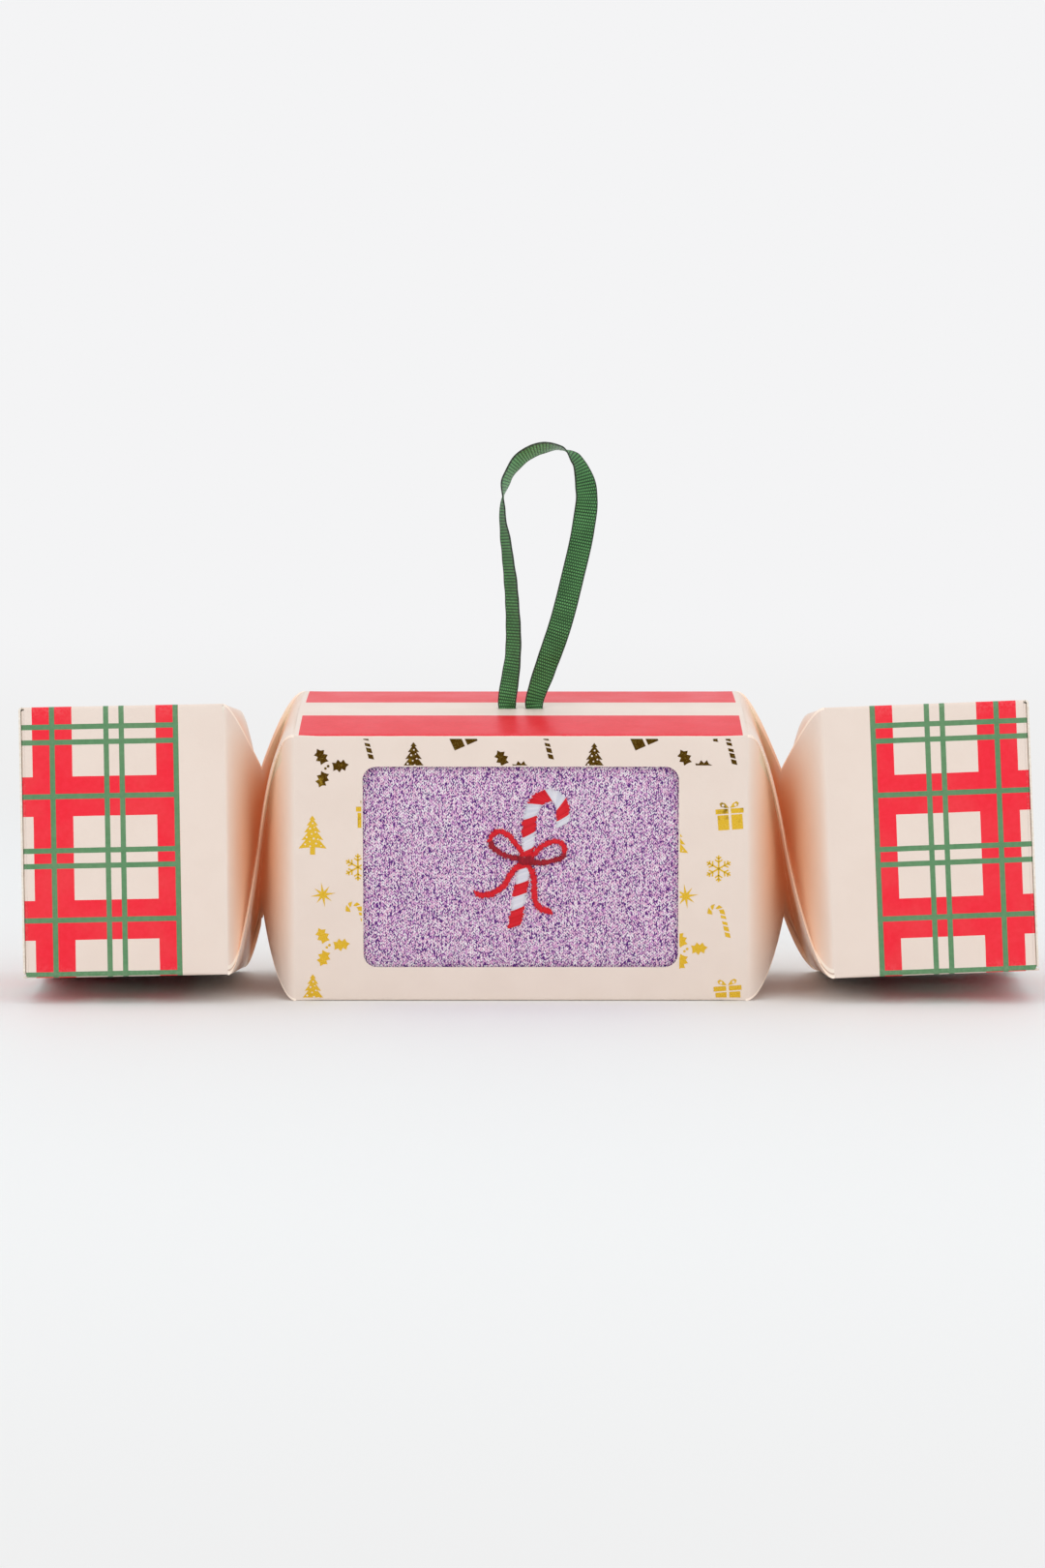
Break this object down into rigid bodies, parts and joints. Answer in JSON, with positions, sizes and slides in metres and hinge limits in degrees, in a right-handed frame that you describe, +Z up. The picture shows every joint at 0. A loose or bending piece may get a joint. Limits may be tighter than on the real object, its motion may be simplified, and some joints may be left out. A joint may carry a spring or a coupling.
{
  "type": "christmas cracker gift box",
  "caption": "Cracker-shaped board gift box with a windowed centre box showing knitted socks, twisted necks, lidded square ends and a ribbon hanging loop.",
  "frame": {"origin": "on the floor under the middle of the whole cracker, ribbon loop left out", "axes": "+X along the cracker to the right seen from the front, -Y towards the viewer of the window, +Z up"},
  "size_m": [0.2622, 0.0758, 0.1433],
  "materials": {
    "board_cream": "satin coated folding board, pale cream print",
    "board_inside": "uncoated inner face of the board",
    "board_plaid": "satin coated board with a red and green plaid on cream",
    "board_banded": "satin coated board, two red bands with cream between",
    "satin": "woven green satin ribbon",
    "knit": "lilac knit with a metallic yarn",
    "stitch_red": "red embroidery thread",
    "stitch_white": "white embroidery thread with red bands"
  },
  "bodies": {
    "centre": {"front_panel": "board_cream", "back_panel": "board_cream", "bottom_panel": "board_cream", "top_panel": "board_banded", "glue_flap": "board_inside", "sock_front": "knit", "sock_back": "knit", "embroidered_cane": "stitch_white", "embroidered_bow": "stitch_red", "ribbon_loop": "satin", "ribbon_knot": "satin", "left_neck_strip_top": "board_cream", "left_neck_strip_front": "board_cream", "left_neck_strip_bottom": "board_cream", "left_neck_strip_back": "board_cream", "right_neck_strip_top": "board_cream", "right_neck_strip_front": "board_cream", "right_neck_strip_bottom": "board_cream", "right_neck_strip_back": "board_cream"},
    "left_end": {"left_end_front": "board_plaid", "left_end_back": "board_plaid", "left_end_top": "board_plaid", "left_end_bottom": "board_plaid", "left_end_glue_flap": "board_inside"},
    "left_lid": {"left_lid": "board_plaid", "left_lid_tongue": "board_plaid"},
    "left_dust_front": {"left_dust_flap_front": "board_cream"},
    "left_dust_back": {"left_dust_flap_back": "board_cream"},
    "right_end": {"right_end_front": "board_plaid", "right_end_back": "board_plaid", "right_end_top": "board_plaid", "right_end_bottom": "board_plaid", "right_end_glue_flap": "board_inside"},
    "right_lid": {"right_lid": "board_plaid", "right_lid_tongue": "board_plaid"},
    "right_dust_front": {"right_dust_flap_front": "board_cream"},
    "right_dust_back": {"right_dust_flap_back": "board_cream"}
  },
  "joints": [
    {"name": "left_neck_twist", "type": "hinge", "parent": "centre", "child": "left_end", "pos_m": [-0.069, 0, 0.03792], "axis": [-1, 0, 0], "range_deg": [-11, 12], "stiffness_Nm_per_rad": 1, "deforming": ["left_neck_strip_top", "left_neck_strip_front", "left_neck_strip_bottom", "left_neck_strip_back"]},
    {"name": "right_neck_twist", "type": "hinge", "parent": "centre", "child": "right_end", "pos_m": [0.06649, 0, 0.03792], "axis": [-1, 0, 0], "range_deg": [-11, 12], "stiffness_Nm_per_rad": 1, "deforming": ["right_neck_strip_top", "right_neck_strip_front", "right_neck_strip_bottom", "right_neck_strip_back"]},
    {"name": "left_lid_fold", "type": "hinge", "parent": "left_end", "child": "left_lid", "pos_m": [-0.13051, 0.00333, 0.07251], "axis": [0.0018, 0.9954, -0.0958], "range_deg": [0, 165]},
    {"name": "left_dust_front_fold", "type": "hinge", "parent": "left_end", "child": "left_dust_front", "pos_m": [-0.12912, -0.03459, 0.04128], "axis": [-0.0191, 0.0958, 0.9952], "range_deg": [0, 82.5]},
    {"name": "left_dust_back_fold", "type": "hinge", "parent": "left_end", "child": "left_dust_back", "pos_m": [-0.12899, 0.03459, 0.03462], "axis": [0.0191, -0.0958, -0.9952], "range_deg": [0, 82.5]},
    {"name": "right_lid_fold", "type": "hinge", "parent": "right_end", "child": "right_lid", "pos_m": [0.1278, 0.00333, 0.07448], "axis": [-0.0037, -0.9954, 0.0958], "range_deg": [0, 165]},
    {"name": "right_dust_front_fold", "type": "hinge", "parent": "right_end", "child": "right_dust_front", "pos_m": [0.1282, -0.03459, 0.04321], "axis": [0.0382, -0.0958, -0.9947], "range_deg": [0, 82.5]},
    {"name": "right_dust_back_fold", "type": "hinge", "parent": "right_end", "child": "right_dust_back", "pos_m": [0.12845, 0.03459, 0.03656], "axis": [-0.0382, 0.0958, 0.9947], "range_deg": [0, 82.5]}
  ],
  "couplings": [
    {"joint": "left_dust_front_fold", "follows": "left_lid_fold", "ratio": 0.5},
    {"joint": "left_dust_back_fold", "follows": "left_lid_fold", "ratio": 0.5},
    {"joint": "right_dust_front_fold", "follows": "right_lid_fold", "ratio": 0.5},
    {"joint": "right_dust_back_fold", "follows": "right_lid_fold", "ratio": 0.5}
  ]
}
